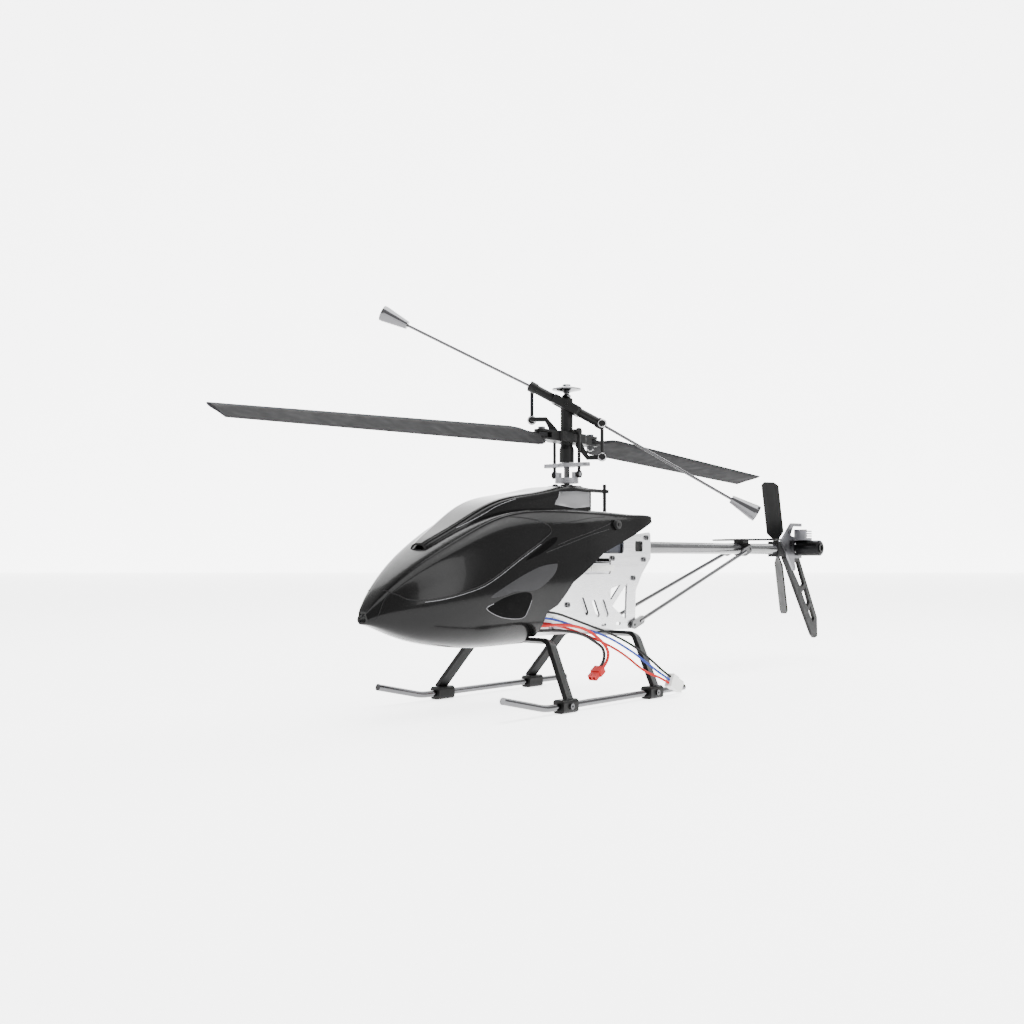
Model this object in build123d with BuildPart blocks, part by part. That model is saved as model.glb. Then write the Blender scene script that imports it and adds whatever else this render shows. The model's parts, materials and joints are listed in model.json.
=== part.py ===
from build123d import *
import os
from math import cos, degrees, radians, sin, sqrt, tan

# Electric model helicopter with a two-blade rotor, a flybar head and a tail rotor on its own motor.
# Nose towards -Y, port side +X, +Z up. The skid clamps stand on z = 0, and the origin lies under
# the middle of the whole outline. Stations along the fuselage are counted aft from the mast.

os.makedirs("parts", exist_ok=True)

# ---------------------------------------------------------------- driving dimensions (mm, degrees)
MAST_Y = -38.4  # the mast's place in the frame
ROTOR_R = 315.5
BLADE_AZIMUTH = -85.6  # the near blade's direction, counted from +X
FRONT_PITCH = (29.0, 20.0)  # at the shoulder and at the tip; the yoke is tipped a little
REAR_PITCH = (17.0, 11.0)
BLADE_DROOP = 2.4
BLADE_CHORD = 28.0
FLYBAR_AZIMUTH = 216.5  # the raised end's direction, counted from +X
FLYBAR_TILT = 28.8
FLYBAR_REACH = 132.5  # horizontal reach of each end

SHAFT_R = 2.0
FIT = 0.05  # running clearance of a shaft in its bore

SKID_X = 53.8
SKID_R = 2.25
SKID_Z = 4.3
CLAMP_STATIONS = (-69.7, 26.1)
ARCH_LEAN = 11.0  # the arches lean forward: their tops stand this far behind the clamps
ARCH_TOP = 44.5

PLATE_X = 10.6  # inner face of each side plate
PLATE_T = 1.6
GEAR_Z = 87.3
GEAR_FACE = 4.2
GEAR_MODULE = 0.6
GEAR_TEETH = 108
PINION_TEETH = 12
MOTOR_Y = -GEAR_MODULE * (GEAR_TEETH + PINION_TEETH) / 2 - 0.08

BOOM_Z = 104.4
BOOM_R = 4.8
BOOM_END = 314.0
CLAMP_HOLE = (71.5, 105.0)
STRUT_FOOT = (62.5, 47.2)
STRUT_HEAD = 246.0

RING_Z = 145.3  # lower, still swash ring
UPPER_RING_Z = 150.9  # upper, turning swash ring
YOKE_Z = 181.0  # feathering axis
PIVOT_Z = 204.4  # flybar pivot
ROD_ARM = 10.4  # swash rods stand this far from the mast
ROD_RISE = 4.3
LINK_R = 25.0  # the flybar links stand this far from the mast
LINK_SIDE = 5.4
LINK_LENGTH = 23.4
BOLT_R = 31.0  # blade bolts
PITCH_ARM = 13.0
ROLL_ARM = 15.0

TAIL_HUB = 338.0
TAIL_Z = 105.4
TAIL_X = -14.0
TAIL_R = 64.0
TAIL_PHASE = 12.0
TAIL_PITCH = 38.0

# ---------------------------------------------------------------- planes and small helpers


def side(x):
    """Upright plane at x: its first axis runs aft from the mast, its second is height."""
    return Plane(origin=(x, MAST_Y, 0), x_dir=(0, 1, 0), z_dir=(1, 0, 0))


def level(z, azimuth=0.0):
    """Horizontal plane at height z on the mast, turned by an azimuth."""
    turned = (cos(radians(azimuth)), sin(radians(azimuth)), 0)
    return Plane(origin=(0, MAST_Y, z), x_dir=turned, z_dir=(0, 0, 1))


def station(y):
    """Upright plane across the fuselage at a station; it faces the nose."""
    return Plane(origin=(0, MAST_Y + y, 0), x_dir=(1, 0, 0), z_dir=(0, -1, 0))


def upright(azimuth):
    """Upright plane through the mast: its first axis points along the azimuth."""
    turned = (cos(radians(azimuth)), sin(radians(azimuth)), 0)
    across = (sin(radians(azimuth)), -cos(radians(azimuth)), 0)
    return Plane(origin=(0, MAST_Y, 0), x_dir=turned, z_dir=across)


def at(x, y, z):
    """A point given by its station."""
    return (x, MAST_Y + y, z)


def around(azimuth, r, z, across=0.0):
    """A point at radius r along an azimuth, and a distance across it to its left."""
    a = radians(azimuth)
    return (r * cos(a) - across * sin(a), MAST_Y + r * sin(a) + across * cos(a), z)


def between(start, end, x_dir=None):
    """Plane at start that faces end."""
    a, b = Vector(*start), Vector(*end)
    if x_dir is None:
        return Plane(origin=a, z_dir=b - a)
    return Plane(origin=a, x_dir=x_dir, z_dir=b - a)


def distance(start, end):
    return (Vector(*end) - Vector(*start)).length


# ---------------------------------------------------------------- landing gear

with BuildPart() as skid_clamps:
    for y in CLAMP_STATIONS:
        for x in (-SKID_X, SKID_X):
            with BuildSketch(station(y + 7.5)):
                with Locations((x, SKID_Z)):
                    RectangleRounded(8.6, 8.6, 2.2)
                    Circle(SKID_R, mode=Mode.SUBTRACT)
            extrude(amount=15)
skid_clamps.part.label = "skid_clamps"
export_step(skid_clamps.part, "parts/skid_clamps.step")


def skid_path(x):
    with BuildLine() as path:
        FilletPolyline(
            at(x, 65.8, SKID_Z), at(x, -90, SKID_Z), at(x, -129.5, SKID_Z + 8.6), radius=46
        )
    return path


with BuildPart() as skids:
    for x in (SKID_X, -SKID_X):
        path = skid_path(x)
        with BuildSketch(Plane(origin=path.line @ 0, z_dir=path.line % 0)):
            Circle(SKID_R)
        sweep(path=path.line)
skids.part.label = "skids"
export_step(skids.part, "parts/skids.step")


def arch_plane(y):
    """The leaning plane of an arch; its second axis runs from the clamps to the arch's top."""
    foot = Vector(0, MAST_Y + y, SKID_Z * 2)
    top = Vector(0, MAST_Y + y + ARCH_LEAN, ARCH_TOP)
    across = Vector(1, 0, 0)
    return Plane(origin=foot, x_dir=across, z_dir=across.cross(top - foot))


ARCH_RISE = sqrt(ARCH_LEAN**2 + (ARCH_TOP - 2 * SKID_Z) ** 2)

with BuildPart() as skid_arches:
    for y in CLAMP_STATIONS:
        with BuildSketch(arch_plane(y)):
            with BuildLine():
                FilletPolyline(
                    (-SKID_X - 1.9, -0.3),
                    (-SKID_X + 21.5, ARCH_RISE - 1.6),
                    (SKID_X - 21.5, ARCH_RISE - 1.6),
                    (SKID_X + 1.9, -0.3),
                    radius=9,
                )
                offset(amount=1.6, side=Side.BOTH)
            make_face()
        extrude(amount=3.7, both=True)
        with Locations(at(0, y + ARCH_LEAN, ARCH_TOP + 10)):
            Box(200, 40, 20, mode=Mode.SUBTRACT)
        with Locations(at(0, y, SKID_Z * 2 - 10)):
            Box(200, 40, 20, mode=Mode.SUBTRACT)
skid_arches.part.label = "skid_arches"
export_step(skid_arches.part, "parts/skid_arches.step")

# ---------------------------------------------------------------- frame

with BuildPart() as base_plate:
    with BuildSketch(level(ARCH_TOP)):
        with Locations((0, -34.5)):
            RectangleRounded(2 * PLATE_X, 193, 3)
        for y in (-118, -96):
            with Locations((0, y)):
                SlotOverall(14, 4, mode=Mode.SUBTRACT)
    extrude(amount=1.6)
    with BuildSketch(level(ARCH_TOP + 1.6)):
        with Locations((0, -103)):
            Rectangle(19, 50)
    extrude(amount=2)
base_plate.part.label = "base_plate"
export_step(base_plate.part, "parts/base_plate.step")

PLATE_OUTLINE = (
    (-62, 44.5), (66, 44.5), (67, 72), (75, 84), (87, 96), (87, 116), (52, 112.5), (52, 99.6),
    (12, 99.6), (12, 136), (-12, 136), (-12, 108), (-50, 108), (-62, 92),
)  # fmt: skip
SCREWS = (
    (80.8, 111.5), (77.2, 95.2), (63.5, 81.5), (37.5, 96.2), (-15.2, 64.2), (-57, 50), (-57, 97),
    (0, 129),
)  # fmt: skip
SPACER_STATIONS = ((63.5, 81.5), (37.5, 96.2), (-57, 50), (-57, 97))


def side_plate(x):
    """One side plate with its lightening holes, its gear slot and its servo windows."""
    with BuildPart() as plate:
        with BuildSketch(side(x)):
            with BuildLine():
                Polyline(*PLATE_OUTLINE, close=True)
            make_face()
            fillet(vertices(), 2.5)
            with BuildLine():
                Polyline((56.2, 78), (37.5, 61.5), (54.5, 51.5), close=True)
            make_face(mode=Mode.SUBTRACT)
            with BuildLine():
                Polyline((30, 73), (48, 77), (36, 66), close=True)
            make_face(mode=Mode.SUBTRACT)
            with Locations((0, GEAR_Z + 3.2)):
                RectangleRounded(72, 11.4, 2, mode=Mode.SUBTRACT)
            with Locations(CLAMP_HOLE):
                RectangleRounded(10, 8, 1.5, mode=Mode.SUBTRACT)
            for y, z in ((4.5, 62.5), (17.8, 60.5), (28.5, 60.5)):
                with Locations((y, z)):
                    SlotOverall(14, 4, rotation=118, mode=Mode.SUBTRACT)
            with Locations((27, 48.6), (45, 48.8), (-33, 48.6)):
                SlotOverall(6, 2.2, mode=Mode.SUBTRACT)
            with Locations((-39, 72), (-58, 72)):
                RectangleRounded(9, 16, 2, mode=Mode.SUBTRACT)
            with Locations((-34, 102.8)):
                Rectangle(20.6, 9, mode=Mode.SUBTRACT)
            with Locations(*SCREWS):
                Circle(1.05, mode=Mode.SUBTRACT)
            with Locations(STRUT_FOOT):
                Circle(1.05, mode=Mode.SUBTRACT)
        extrude(amount=PLATE_T)
    return plate.part


left_side_plate = side_plate(PLATE_X)
left_side_plate.label = "left_side_plate"
export_step(left_side_plate, "parts/left_side_plate.step")
right_side_plate = side_plate(-PLATE_X - PLATE_T)
right_side_plate.label = "right_side_plate"
export_step(right_side_plate, "parts/right_side_plate.step")

with BuildPart() as frame_spacers:
    for y, z in SPACER_STATIONS:
        with BuildSketch(side(-PLATE_X)):
            with Locations((y, z)):
                RegularPolygon(3, 6)
                Circle(1.05, mode=Mode.SUBTRACT)
        extrude(amount=2 * PLATE_X)
frame_spacers.part.label = "frame_spacers"
export_step(frame_spacers.part, "parts/frame_spacers.step")

with BuildPart() as lower_bearing:
    with BuildSketch(level(50)):
        Rectangle(2 * PLATE_X, 18)
        Circle(SHAFT_R + FIT, mode=Mode.SUBTRACT)
    extrude(amount=8)
lower_bearing.part.label = "lower_bearing"
export_step(lower_bearing.part, "parts/lower_bearing.step")

with BuildPart() as upper_bearing:
    with BuildSketch(level(123)):
        Rectangle(2 * PLATE_X, 20)
    extrude(amount=12.5)
    with BuildSketch(level(135.5)):
        Circle(4.3)
    extrude(amount=12.7)
    with BuildSketch(level(123)):
        Circle(SHAFT_R + FIT)
    extrude(amount=30, mode=Mode.SUBTRACT)
    for way in (1, -1):
        with BuildSketch(Plane(origin=at(3.6 * way, 0, RING_Z), z_dir=(way, 0, 0))):
            Circle(0.6)
        extrude(amount=3.0)
        with BuildSketch(Plane(origin=at(4.0 * way, 23.5, 119.9), z_dir=(way, 0, 0))):
            Circle(1.5)
        extrude(amount=25.0)
    with Locations(at(0, 23.5, 117.6)):
        Box(9, 5, 8.8)
    with Locations(at(0, 16.5, 114.6)):
        Box(9, 16, 2.8)
    with Locations(at(0, 10.2, 119.6)):
        Box(9, 3.2, 12.8)
upper_bearing.part.label = "upper_bearing"
export_step(upper_bearing.part, "parts/upper_bearing.step")

with BuildPart() as boom_clamp:
    with BuildSketch(side(-PLATE_X)):
        with BuildLine():
            Polyline((53, 98), (82, 98), (86, 101), (86, 112), (53, 112), close=True)
        make_face()
        with Locations((80.8, 111.5), (77.2, 95.2)):
            Circle(2.2, mode=Mode.SUBTRACT)
    extrude(amount=2 * PLATE_X)
    with BuildSketch(station(60)):
        with Locations((0, BOOM_Z)):
            Circle(BOOM_R)
    extrude(amount=-40, mode=Mode.SUBTRACT)
    with BuildSketch(level(112)):
        with Locations((0, 51)):
            RectangleRounded(8, 20, 2)
    extrude(amount=1.8)
    with BuildSketch(level(112)):
        with Locations((0, 45)):
            Circle(1.3)
    extrude(amount=38.5)
    with BuildSketch(level(113.8)):
        with Locations((0, 45)):
            Circle(2.6)
    extrude(amount=6, taper=8)
boom_clamp.part.label = "boom_clamp"
export_step(boom_clamp.part, "parts/boom_clamp.step")

with BuildPart() as motor_mount:
    with BuildSketch(level(84.3)):
        with Locations((0, MOTOR_Y)):
            Rectangle(2 * PLATE_X, 23)
            Circle(4, mode=Mode.SUBTRACT)
    extrude(amount=2)
motor_mount.part.label = "motor_mount"
export_step(motor_mount.part, "parts/motor_mount.step")

with BuildPart() as main_motor:
    with BuildSketch(level(53)):
        with Locations((0, MOTOR_Y)):
            Circle(10.2)
    extrude(amount=31.3)
    chamfer(edges().filter_by(GeomType.CIRCLE), 1.2)
    with BuildSketch(level(53)):
        with Locations((0, MOTOR_Y)):
            with PolarLocations(7.4, 6):
                Circle(1.4)
    extrude(amount=2.5, mode=Mode.SUBTRACT)
    with BuildSketch(level(60)):
        with Locations((0, MOTOR_Y)):
            Circle(1.5 + FIT)
    extrude(amount=30, mode=Mode.SUBTRACT)
main_motor.part.label = "main_motor"
export_step(main_motor.part, "parts/main_motor.step")

SERVO_Z = 102.8
PITCH_SHAFT_Y = -29.0
ROLL_SHAFT_Z = 104.3

with BuildPart() as pitch_servo:
    with BuildSketch(side(-9.6)):
        with Locations((-34, SERVO_Z)):
            RectangleRounded(20, 8.4, 0.6)
    extrude(amount=21)
    with BuildSketch(side(11.4)):
        with Locations((PITCH_SHAFT_Y, SERVO_Z)):
            Circle(3.4)
            Circle(1.0 + FIT, mode=Mode.SUBTRACT)
    extrude(amount=2)
pitch_servo.part.label = "pitch_servo"
export_step(pitch_servo.part, "parts/pitch_servo.step")

with BuildPart() as roll_servo:
    with BuildSketch(station(51)):
        with Locations((0, ROLL_SHAFT_Z)):
            RectangleRounded(20, 8.4, 0.6)
    extrude(amount=21)
    with BuildSketch(station(30)):
        with Locations((0, ROLL_SHAFT_Z)):
            Circle(3.4)
            Circle(1.0 + FIT, mode=Mode.SUBTRACT)
    extrude(amount=1.5)
roll_servo.part.label = "roll_servo"
export_step(roll_servo.part, "parts/roll_servo.step")

with BuildPart() as battery:
    with BuildSketch(level(ARCH_TOP + 3.6)):
        with Locations((0, -105)):
            RectangleRounded(30, 62, 3)
    extrude(amount=16)
    fillet(faces().sort_by(Axis.Z)[-1].edges(), 2)
battery.part.label = "battery"
export_step(battery.part, "parts/battery.step")

with BuildPart() as receiver:
    with BuildSketch(level(ARCH_TOP + 19.6)):
        with Locations((0, -108)):
            RectangleRounded(26, 40, 1.5)
    extrude(amount=10)
    with BuildSketch(level(ARCH_TOP + 26)):
        with Locations((0, -88)):
            Rectangle(20, 4)
    extrude(amount=6, mode=Mode.SUBTRACT)
receiver.part.label = "receiver"
export_step(receiver.part, "parts/receiver.step")

# ---------------------------------------------------------------- canopy

# Each section of the pod: station, half width and its height, shoulder, floor and top.
SECTIONS = (
    (-190.5, 4.4, 61.0, 3.2, 64.0, 58.0, 65.6),
    (-183.0, 8.4, 65.0, 6.0, 71.0, 56.0, 74.5),
    (-172.0, 13.2, 69.5, 9.4, 79.5, 52.0, 84.5),
    (-155.0, 19.4, 74.0, 13.8, 90.5, 46.6, 96.6),
    (-129.0, 25.6, 80.0, 18.6, 103.5, 41.8, 111.2),
    (-100.0, 29.4, 86.0, 22.0, 115.6, 39.4, 123.4),
    (-62.0, 31.2, 92.0, 24.5, 121.5, 39.4, 129.0),
    (-20.0, 33.2, 95.0, 26.5, 121.5, 43.0, 130.0),
    (0.0, 31.8, 101.0, 26.2, 121.8, 51.0, 130.0),
    (22.0, 30.0, 106.0, 25.5, 122.0, 60.0, 129.5),
    (46.0, 28.5, 110.5, 25.1, 122.6, 72.0, 128.3),
    (70.0, 27.0, 115.0, 24.8, 123.2, 84.0, 127.0),
)
# The fairing on top of the pod: station, half width and top.
FAIRING = (
    (-146.0, 7.0, 105.5),
    (-128.0, 11.5, 115.2),
    (-108.0, 15.0, 126.0),
    (-88.0, 17.2, 134.0),
    (-58.0, 18.6, 139.4),
    (-34.0, 19.2, 143.6),
    (-8.0, 19.4, 146.4),
    (14.0, 19.4, 147.4),
)
CANOPY_WALL = 1.3


def pod_form(wall):
    """The pod's closed outer form, or the space inside a wall of that thickness."""
    with BuildPart() as form:
        for y, width, width_z, shoulder, shoulder_z, floor, top in SECTIONS[: -2 if wall else None]:
            with BuildSketch(station(y)):
                with BuildLine():
                    Spline(
                        (0, floor + wall),
                        (0.62 * width, floor + wall + 0.12 * (width_z - floor)),
                        (width - wall, width_z),
                        (shoulder - 0.7 * wall, shoulder_z - 0.7 * wall),
                        (0, top - wall),
                        tangents=((1, 0), (-1, 0)),
                    )
                    mirror(about=Plane.YZ)
                make_face()
        loft()
    return form.part


def fairing_form(wall):
    """The fairing's closed outer form, or the space inside its wall."""
    with BuildPart() as form:
        for y, width, top in FAIRING:
            with BuildSketch(station(y)):
                with Locations((0, (92 + top - wall) / 2)):
                    RectangleRounded(2 * (width - wall), top - wall - 92, 5.0 - 0.5 * wall)
        loft()
    return form.part


with BuildPart() as canopy:
    add(pod_form(0))
    add(fairing_form(0))
    add(pod_form(CANOPY_WALL), mode=Mode.SUBTRACT)
    add(fairing_form(CANOPY_WALL), mode=Mode.SUBTRACT)
    with BuildSketch(side(-60)):
        with BuildLine():
            Polyline(
                (-58.5, 0), (-58.5, 61.3), (-50.0, 65.5), (-36.5, 80.3), (0.5, 99.8),
                (41.5, 112.2), (69.8, 122.6), (120, 122.6), (120, 0), close=True,
            )  # fmt: skip
        make_face()
    extrude(amount=120, mode=Mode.SUBTRACT)
    with BuildSketch(side(-60)):
        with Locations((-58, 42.9)):
            Rectangle(11.2, 4.4)
    extrude(amount=120, mode=Mode.SUBTRACT)
    with BuildSketch(level(98)):
        with Locations((0, 63)):
            Rectangle(46.4, 120)
    extrude(amount=60, mode=Mode.SUBTRACT)
    with BuildSketch(level(98)):
        with Locations((0, 20)):
            Rectangle(35, 40)
    extrude(amount=38, mode=Mode.SUBTRACT)
    with BuildSketch(level(134)):
        Circle(16.9)
    extrude(amount=30, mode=Mode.SUBTRACT)
    for x in (-27, 27):
        with Locations(Location(at(x, 23.5, 119.9), (0, 90, 0))):
            Cylinder(3.1, 14, mode=Mode.SUBTRACT)
canopy.part.label = "canopy"
export_step(canopy.part, "parts/canopy.step")

with BuildPart() as canopy_grommets:
    for x, way in ((24.5, 1), (-24.5, -1)):
        with BuildSketch(Plane(origin=at(x, 23.5, 119.9), z_dir=(way, 0, 0))):
            Circle(3.1)
            Circle(1.5, mode=Mode.SUBTRACT)
        extrude(amount=4)
canopy_grommets.part.label = "canopy_grommets"
export_step(canopy_grommets.part, "parts/canopy_grommets.step")

# ---------------------------------------------------------------- tail

with BuildPart() as tail_boom:
    with BuildSketch(station(60)):
        with Locations((0, BOOM_Z)):
            Circle(BOOM_R)
            Circle(BOOM_R - 0.6, mode=Mode.SUBTRACT)
    extrude(amount=-(BOOM_END - 60))
tail_boom.part.label = "tail_boom"
export_step(tail_boom.part, "parts/tail_boom.step")

with BuildPart() as strut_clamp:
    with BuildSketch(station(STRUT_HEAD - 5)):
        with Locations((0, BOOM_Z)):
            Circle(BOOM_R + 1.8)
            Rectangle(13.2, 5)
        with Locations((0, BOOM_Z + 5.6)):
            Rectangle(9, 3)
        with Locations((0, BOOM_Z)):
            Circle(BOOM_R, mode=Mode.SUBTRACT)
    extrude(amount=-10)
strut_clamp.part.label = "strut_clamp"
export_step(strut_clamp.part, "parts/strut_clamp.step")

with BuildPart() as boom_struts:
    for way in (1, -1):
        foot = at(13.6 * way, *STRUT_FOOT)
        head = at(8.0 * way, STRUT_HEAD, BOOM_Z)
        run = (Vector(*head) - Vector(*foot)).normalized()
        with BuildSketch(between(foot, head).offset(8)):
            Circle(1.5)
        extrude(amount=distance(foot, head) - 16)
        flat = Plane(origin=foot, x_dir=run, z_dir=run.cross(Vector(0, 0, 1)))
        with BuildSketch(flat):
            for along in (5.5, distance(foot, head) - 5.5):
                with Locations((along, 0)):
                    SlotOverall(17.4, 6.4)
            for along in (0, distance(foot, head)):
                with Locations((along, 0)):
                    Circle(1.05, mode=Mode.SUBTRACT)
        extrude(amount=0.9, both=True)
boom_struts.part.label = "boom_struts"
export_step(boom_struts.part, "parts/boom_struts.step")

with BuildPart() as stabiliser:
    with BuildSketch(level(BOOM_Z + 7.1)):
        with BuildLine():
            Polyline(
                (0, 236), (8, 236), (31, 249), (31, 262), (8, 264), (0, 264), (-8, 264),
                (-31, 262), (-31, 249), (-8, 236), close=True,
            )  # fmt: skip
        make_face()
    extrude(amount=1.4)
    fillet(edges().filter_by(Axis.Z), 2)
stabiliser.part.label = "stabiliser"
export_step(stabiliser.part, "parts/stabiliser.step")

with BuildPart() as tail_bracket:
    with BuildSketch(side(5.2)):
        with BuildLine():
            Polyline(
                (347, 128.5), (327, 128.5), (306.5, 111.5), (331, 84), (334, 86), (331, 96),
                (346, 96), (346, 113), (338, 116), (329, 116), (324, 117), (330, 125.5),
                (347, 125.5), close=True,
            )  # fmt: skip
        make_face()
        fillet(vertices(), 1.2)
        with Locations((TAIL_HUB, TAIL_Z)):
            Circle(2.2, mode=Mode.SUBTRACT)
            with PolarLocations(5.6, 4, start_angle=45):
                RectangleRounded(2.6, 3.6, 0.8, mode=Mode.SUBTRACT)
    extrude(amount=2)
tail_bracket.part.label = "tail_bracket"
export_step(tail_bracket.part, "parts/tail_bracket.step")

with BuildPart() as tail_fin:
    with BuildSketch(side(-1.5)):
        with BuildLine():
            Polyline(
                (321, 97.4), (352, 97.4), (388.5, 39), (389, 21), (383, 19.5), (377.5, 23),
                (329, 88), close=True,
            )  # fmt: skip
        make_face()
        fillet(vertices(), 1)
        with BuildLine():
            Polyline((334, 91), (349.5, 93), (362, 72), (355.5, 67.5), close=True)
        make_face(mode=Mode.SUBTRACT)
        with BuildLine():
            Polyline((357.5, 63.5), (364.5, 68.5), (372.8, 54), (368, 49.5), close=True)
        make_face(mode=Mode.SUBTRACT)
        with BuildLine():
            Polyline((370.8, 45.8), (375, 50), (382.5, 38.5), (379.5, 34.5), close=True)
        make_face(mode=Mode.SUBTRACT)
    extrude(amount=3)
    with BuildSketch(side(-5.2)):
        with BuildLine():
            Polyline((304, 97.4), (332, 97.4), (332, 100), (327, 111.4), (304, 111.4), close=True)
        make_face()
    extrude(amount=10.4)
    with BuildSketch(station(300)):
        with Locations((0, BOOM_Z)):
            Circle(BOOM_R)
    extrude(amount=-(BOOM_END - 300), mode=Mode.SUBTRACT)
tail_fin.part.label = "tail_fin"
export_step(tail_fin.part, "parts/tail_fin.step")

with BuildPart() as tail_motor:
    with BuildSketch(Plane(origin=at(7.2, TAIL_HUB, TAIL_Z), z_dir=(1, 0, 0))):
        Circle(7.2)
    extrude(amount=23)
    chamfer(edges().filter_by(GeomType.CIRCLE), 0.9)
    with BuildSketch(Plane(origin=at(29.5, TAIL_HUB, TAIL_Z), z_dir=(1, 0, 0))):
        Circle(4.6)
        Circle(2.4, mode=Mode.SUBTRACT)
    extrude(amount=1.6)
    with BuildSketch(Plane(origin=at(6, TAIL_HUB, TAIL_Z), z_dir=(1, 0, 0))):
        Circle(1.0 + FIT)
    extrude(amount=12, mode=Mode.SUBTRACT)
tail_motor.part.label = "tail_motor"
export_step(tail_motor.part, "parts/tail_motor.step")

with BuildPart() as heat_sink:
    with BuildSketch(side(7.2)):
        with Locations((TAIL_HUB, TAIL_Z + 12.2)):
            Rectangle(14, 10)
            for step in range(4):
                with Locations((2, -2.1 + 2.2 * step)):
                    Rectangle(10.1, 1.1, mode=Mode.SUBTRACT)
        with Locations((TAIL_HUB, TAIL_Z)):
            Circle(7.2, mode=Mode.SUBTRACT)
    extrude(amount=11)
heat_sink.part.label = "heat_sink"
export_step(heat_sink.part, "parts/heat_sink.step")


def tail_blade_plane(turn):
    """Plane of one tail blade: its first axis along the blade, its second across the chord."""
    a = radians(TAIL_PHASE + turn)
    along = Vector(0, -sin(a), cos(a))
    across = Vector(0, cos(a), sin(a))
    b = radians(90 - TAIL_PITCH)
    chord = Vector(sin(b), 0, 0) + across * cos(b)
    return Plane(origin=at(TAIL_X, TAIL_HUB, TAIL_Z), x_dir=along, z_dir=along.cross(chord))


with BuildPart() as tail_rotor:
    with BuildSketch(Plane(origin=at(TAIL_X + 4, TAIL_HUB, TAIL_Z), z_dir=(-1, 0, 0))):
        Circle(3.8)
    extrude(amount=8)
    chamfer(edges().filter_by(GeomType.CIRCLE), 0.8)
    with BuildSketch(Plane(origin=at(TAIL_X + 3, TAIL_HUB, TAIL_Z), z_dir=(1, 0, 0))):
        Circle(1.0)
    extrude(amount=27)
    for turn in (0, 180):
        with BuildSketch(tail_blade_plane(turn)):
            with BuildLine():
                Polyline(
                    (0, -2.2), (9, -3), (15, -7.8), (TAIL_R - 2.5, -7.8), (TAIL_R, -5),
                    (TAIL_R - 1.5, 4), (TAIL_R - 5, 7.8), (15, 7.8), (9, 3), (0, 2.2), close=True,
                )  # fmt: skip
            make_face()
        extrude(amount=0.7, both=True)
tail_rotor.part.label = "tail_rotor"
export_step(tail_rotor.part, "parts/tail_rotor.step")

# ---------------------------------------------------------------- main rotor and its drive


def gear(teeth, z, face, turn, backlash):
    """A spur gear's face with straight-flanked teeth, which is as wide as the mesh allows."""
    pitch_r = GEAR_MODULE * teeth / 2
    tip = pitch_r + 0.92 * GEAR_MODULE
    root = pitch_r - 1.22 * GEAR_MODULE
    half = 90 / teeth - degrees(backlash / pitch_r)
    lean = tan(radians(20)) * GEAR_MODULE
    at_tip = pitch_r * radians(half) - 0.92 * lean
    at_root = pitch_r * radians(half) + 1.22 * lean
    with BuildPart() as body:
        with BuildSketch(Plane(origin=z, z_dir=(0, 0, 1))):
            Circle(root)
            with PolarLocations(0, teeth, start_angle=turn):
                Polygon(
                    (root - 0.3, -at_root), (tip, -at_tip), (tip, at_tip), (root - 0.3, at_root),
                    align=None,
                )  # fmt: skip
        extrude(amount=face)
    return body.part


with BuildPart() as main_gear:
    add(gear(GEAR_TEETH, at(0, 0, GEAR_Z), GEAR_FACE, 0, 0.09))
    with BuildSketch(level(GEAR_Z)):
        with PolarLocations(19.5, 6, start_angle=30):
            Circle(6.2)
        Circle(SHAFT_R)
    extrude(amount=GEAR_FACE, mode=Mode.SUBTRACT)
main_gear.part.label = "main_gear"
export_step(main_gear.part, "parts/main_gear.step")

with BuildPart() as gear_hub:
    with BuildSketch(level(GEAR_Z + GEAR_FACE)):
        Circle(8)
        Circle(SHAFT_R, mode=Mode.SUBTRACT)
    extrude(amount=5)
    with BuildSketch(level(GEAR_Z + GEAR_FACE + 1.1)):
        Circle(30.7)
        Circle(SHAFT_R, mode=Mode.SUBTRACT)
        with PolarLocations(19.5, 6, start_angle=30):
            Circle(6.2, mode=Mode.SUBTRACT)
    extrude(amount=0.9)
gear_hub.part.label = "gear_hub"
export_step(gear_hub.part, "parts/gear_hub.step")

with BuildPart() as main_shaft:
    with BuildSketch(level(47.2)):
        Circle(SHAFT_R)
    extrude(amount=149)
main_shaft.part.label = "main_shaft"
export_step(main_shaft.part, "parts/main_shaft.step")

with BuildPart() as pinion:
    add(gear(PINION_TEETH, at(0, MOTOR_Y, GEAR_Z - 0.6), 5.4, 90 + 180 / PINION_TEETH, 0.09))
    with BuildSketch(level(64)):
        with Locations((0, MOTOR_Y)):
            Circle(1.5)
    extrude(amount=29)
pinion.part.label = "pinion"
export_step(pinion.part, "parts/pinion.step")

FEATHER_AXIS = Plane(
    origin=around(BLADE_AZIMUTH, -13.2, YOKE_Z), z_dir=level(0, BLADE_AZIMUTH).x_dir
)
FLYBAR_AXIS = Plane(
    origin=around(FLYBAR_AZIMUTH, 0, PIVOT_Z, -6.9), z_dir=level(0, FLYBAR_AZIMUTH).y_dir
)

with BuildPart() as hub_column:
    with BuildSketch(level(164)):
        Circle(5.2)
    extrude(amount=9)
    with BuildSketch(level(173)):
        Circle(5.2)
    extrude(amount=3, taper=18)
    with BuildSketch(level(176)):
        Circle(4.35)
    extrude(amount=33.6)
    chamfer(edges().filter_by(GeomType.CIRCLE).sort_by(Axis.Z)[-1], 0.6)
    with BuildSketch(level(150)):
        Circle(SHAFT_R)
    extrude(amount=46.2, mode=Mode.SUBTRACT)
    with BuildSketch(FEATHER_AXIS):
        Circle(1.2)
    extrude(amount=10)
    with BuildSketch(FEATHER_AXIS.offset(16.4)):
        Circle(1.2)
    extrude(amount=10)
    with BuildSketch(FLYBAR_AXIS):
        Circle(1.0)
    extrude(amount=13.8)
hub_column.part.label = "hub_column"
export_step(hub_column.part, "parts/hub_column.step")

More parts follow.
